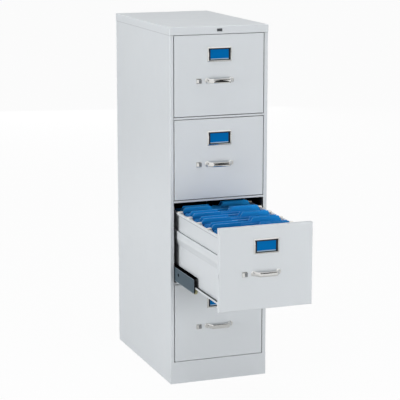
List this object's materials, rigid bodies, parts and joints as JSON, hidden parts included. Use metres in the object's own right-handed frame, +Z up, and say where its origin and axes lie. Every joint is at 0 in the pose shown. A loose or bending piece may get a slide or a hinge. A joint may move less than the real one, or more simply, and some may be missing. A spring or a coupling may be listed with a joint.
{
  "type": "vertical filing cabinet",
  "caption": "Vertical steel filing cabinet with full-suspension drawers, thumb latches, bow pulls and label holders; one drawer stands open with hanging folders.",
  "frame": {"origin": "centre of the case's footprint, at floor level, midway between the base's levelling holes", "axes": "+Z up, +X to the right of a person facing the drawers, -Y out of the drawer fronts, so drawers open along -Y"},
  "size_m": [0.381, 1.1125, 1.321],
  "materials": {
    "case_paint": "satin baked enamel with a fine orange-peel texture",
    "drawer_paint": "satin baked enamel with a fine orange-peel texture",
    "inner_steel": "dull grey primer",
    "chrome": "bright chrome plate",
    "latch_chrome": "bright chrome plate on a ribbed casting",
    "zinc_steel": "zinc-plated",
    "cradle_black": "black oxide with a film of grease",
    "cradle_slate": "slate-grey paint",
    "nylon": "moulded natural nylon",
    "label_card": "blue card",
    "folder_card": "uncoated blue pressboard",
    "rod_steel": "cream-coated flat steel with hooked ends",
    "badge": "bare dark plate with a bright edge"
  },
  "bodies": {
    "case": {"case_left_side": "case_paint", "case_right_side": "case_paint", "case_back": "case_paint", "case_top": "case_paint", "case_plinth": "case_paint", "case_cross_rails": "case_paint", "case_uprights": "inner_steel", "case_slide_channels": "inner_steel", "case_corner_gussets": "inner_steel", "badge_plate": "badge"},
    "drawer_1": {"drawer_1_front": "drawer_paint", "drawer_1_tray": "drawer_paint", "drawer_1_handle": "chrome", "drawer_1_label_holder": "chrome", "drawer_1_label_card": "label_card"},
    "latch_1": {"drawer_1_thumb_latch": "latch_chrome", "drawer_1_latch_bar": "zinc_steel"},
    "follower_1": {"drawer_1_follower": "zinc_steel"},
    "cradle_1": {"drawer_1_cradle_channels": "cradle_black", "drawer_1_cradle_plates": "cradle_slate"},
    "cradle_rollers_1": {"drawer_1_cradle_rollers": "nylon"},
    "case_rollers_1": {"drawer_1_case_rollers": "nylon"},
    "drawer_2": {"drawer_2_front": "drawer_paint", "drawer_2_tray": "drawer_paint", "drawer_2_handle": "chrome", "drawer_2_label_holder": "chrome", "drawer_2_label_card": "label_card"},
    "latch_2": {"drawer_2_thumb_latch": "latch_chrome", "drawer_2_latch_bar": "zinc_steel"},
    "follower_2": {"drawer_2_follower": "zinc_steel"},
    "cradle_2": {"drawer_2_cradle_channels": "cradle_black", "drawer_2_cradle_plates": "cradle_slate"},
    "cradle_rollers_2": {"drawer_2_cradle_rollers": "nylon"},
    "case_rollers_2": {"drawer_2_case_rollers": "nylon"},
    "drawer_3": {"drawer_3_front": "drawer_paint", "drawer_3_tray": "drawer_paint", "drawer_3_handle": "chrome", "drawer_3_label_holder": "chrome", "drawer_3_label_card": "label_card", "hanging_folders": "folder_card", "folder_rods": "rod_steel"},
    "latch_3": {"drawer_3_thumb_latch": "latch_chrome", "drawer_3_latch_bar": "zinc_steel"},
    "follower_3": {"drawer_3_follower": "zinc_steel"},
    "cradle_3": {"drawer_3_cradle_channels": "cradle_black", "drawer_3_cradle_plates": "cradle_slate"},
    "cradle_rollers_3": {"drawer_3_cradle_rollers": "nylon"},
    "case_rollers_3": {"drawer_3_case_rollers": "nylon"},
    "drawer_4": {"drawer_4_front": "drawer_paint", "drawer_4_tray": "drawer_paint", "drawer_4_handle": "chrome", "drawer_4_label_holder": "chrome", "drawer_4_label_card": "label_card"},
    "latch_4": {"drawer_4_thumb_latch": "latch_chrome", "drawer_4_latch_bar": "zinc_steel"},
    "follower_4": {"drawer_4_follower": "zinc_steel"},
    "cradle_4": {"drawer_4_cradle_channels": "cradle_black", "drawer_4_cradle_plates": "cradle_slate"},
    "cradle_rollers_4": {"drawer_4_cradle_rollers": "nylon"},
    "case_rollers_4": {"drawer_4_case_rollers": "nylon"}
  },
  "joints": [
    {"name": "drawer_1_slide", "type": "slide", "parent": "case", "child": "drawer_1", "axis": [0, -1, 0], "range_m": [0, 0.56]},
    {"name": "cradle_1_slide", "type": "slide", "parent": "case", "child": "cradle_1", "axis": [0, -1, 0], "range_m": [0, 0.28]},
    {"name": "cradle_1_rollers_turn", "type": "hinge", "parent": "cradle_1", "child": "cradle_rollers_1", "pos_m": [0, -0.2865, 1.0102], "axis": [1, 0, 0], "continuous": true},
    {"name": "case_1_rollers_turn", "type": "hinge", "parent": "case", "child": "case_rollers_1", "pos_m": [0, -0.2575, 0.9942], "axis": [1, 0, 0], "continuous": true},
    {"name": "latch_1_slide", "type": "slide", "parent": "drawer_1", "child": "latch_1", "axis": [1, 0, 0], "range_m": [-0.007, 0]},
    {"name": "follower_1_slide", "type": "slide", "parent": "drawer_1", "child": "follower_1", "axis": [0, -1, 0], "range_m": [0, 0.5]},
    {"name": "drawer_2_slide", "type": "slide", "parent": "case", "child": "drawer_2", "axis": [0, -1, 0], "range_m": [0, 0.56]},
    {"name": "cradle_2_slide", "type": "slide", "parent": "case", "child": "cradle_2", "axis": [0, -1, 0], "range_m": [0, 0.28]},
    {"name": "cradle_2_rollers_turn", "type": "hinge", "parent": "cradle_2", "child": "cradle_rollers_2", "pos_m": [0, -0.2865, 0.7057], "axis": [1, 0, 0], "continuous": true},
    {"name": "case_2_rollers_turn", "type": "hinge", "parent": "case", "child": "case_rollers_2", "pos_m": [0, -0.2575, 0.6897], "axis": [1, 0, 0], "continuous": true},
    {"name": "latch_2_slide", "type": "slide", "parent": "drawer_2", "child": "latch_2", "axis": [1, 0, 0], "range_m": [-0.007, 0]},
    {"name": "follower_2_slide", "type": "slide", "parent": "drawer_2", "child": "follower_2", "axis": [0, -1, 0], "range_m": [0, 0.5]},
    {"name": "drawer_3_slide", "type": "slide", "parent": "case", "child": "drawer_3", "axis": [0, -1, 0], "range_m": [-0.45, 0.11]},
    {"name": "cradle_3_slide", "type": "slide", "parent": "case", "child": "cradle_3", "axis": [0, -1, 0], "range_m": [-0.225, 0.055]},
    {"name": "cradle_3_rollers_turn", "type": "hinge", "parent": "cradle_3", "child": "cradle_rollers_3", "pos_m": [0, -0.5115, 0.4012], "axis": [1, 0, 0], "continuous": true},
    {"name": "case_3_rollers_turn", "type": "hinge", "parent": "case", "child": "case_rollers_3", "pos_m": [0, -0.2575, 0.3852], "axis": [1, 0, 0], "continuous": true},
    {"name": "latch_3_slide", "type": "slide", "parent": "drawer_3", "child": "latch_3", "axis": [1, 0, 0], "range_m": [-0.007, 0]},
    {"name": "follower_3_slide", "type": "slide", "parent": "drawer_3", "child": "follower_3", "axis": [0, -1, 0], "range_m": [0, 0.03]},
    {"name": "drawer_4_slide", "type": "slide", "parent": "case", "child": "drawer_4", "axis": [0, -1, 0], "range_m": [0, 0.56]},
    {"name": "cradle_4_slide", "type": "slide", "parent": "case", "child": "cradle_4", "axis": [0, -1, 0], "range_m": [0, 0.28]},
    {"name": "cradle_4_rollers_turn", "type": "hinge", "parent": "cradle_4", "child": "cradle_rollers_4", "pos_m": [0, -0.2865, 0.0967], "axis": [1, 0, 0], "continuous": true},
    {"name": "case_4_rollers_turn", "type": "hinge", "parent": "case", "child": "case_rollers_4", "pos_m": [0, -0.2575, 0.0807], "axis": [1, 0, 0], "continuous": true},
    {"name": "latch_4_slide", "type": "slide", "parent": "drawer_4", "child": "latch_4", "axis": [1, 0, 0], "range_m": [-0.007, 0]},
    {"name": "follower_4_slide", "type": "slide", "parent": "drawer_4", "child": "follower_4", "axis": [0, -1, 0], "range_m": [0, 0.5]}
  ],
  "couplings": [
    {"joint": "cradle_1_slide", "follows": "drawer_1_slide", "ratio": 0.5},
    {"joint": "cradle_1_rollers_turn", "follows": "drawer_1_slide", "rad_per_m": 50},
    {"joint": "case_1_rollers_turn", "follows": "drawer_1_slide", "rad_per_m": 55.556},
    {"joint": "cradle_2_slide", "follows": "drawer_2_slide", "ratio": 0.5},
    {"joint": "cradle_2_rollers_turn", "follows": "drawer_2_slide", "rad_per_m": 50},
    {"joint": "case_2_rollers_turn", "follows": "drawer_2_slide", "rad_per_m": 55.556},
    {"joint": "cradle_3_slide", "follows": "drawer_3_slide", "ratio": 0.5},
    {"joint": "cradle_3_rollers_turn", "follows": "drawer_3_slide", "rad_per_m": 50},
    {"joint": "case_3_rollers_turn", "follows": "drawer_3_slide", "rad_per_m": 55.556},
    {"joint": "cradle_4_slide", "follows": "drawer_4_slide", "ratio": 0.5},
    {"joint": "cradle_4_rollers_turn", "follows": "drawer_4_slide", "rad_per_m": 50},
    {"joint": "case_4_rollers_turn", "follows": "drawer_4_slide", "rad_per_m": 55.556}
  ]
}
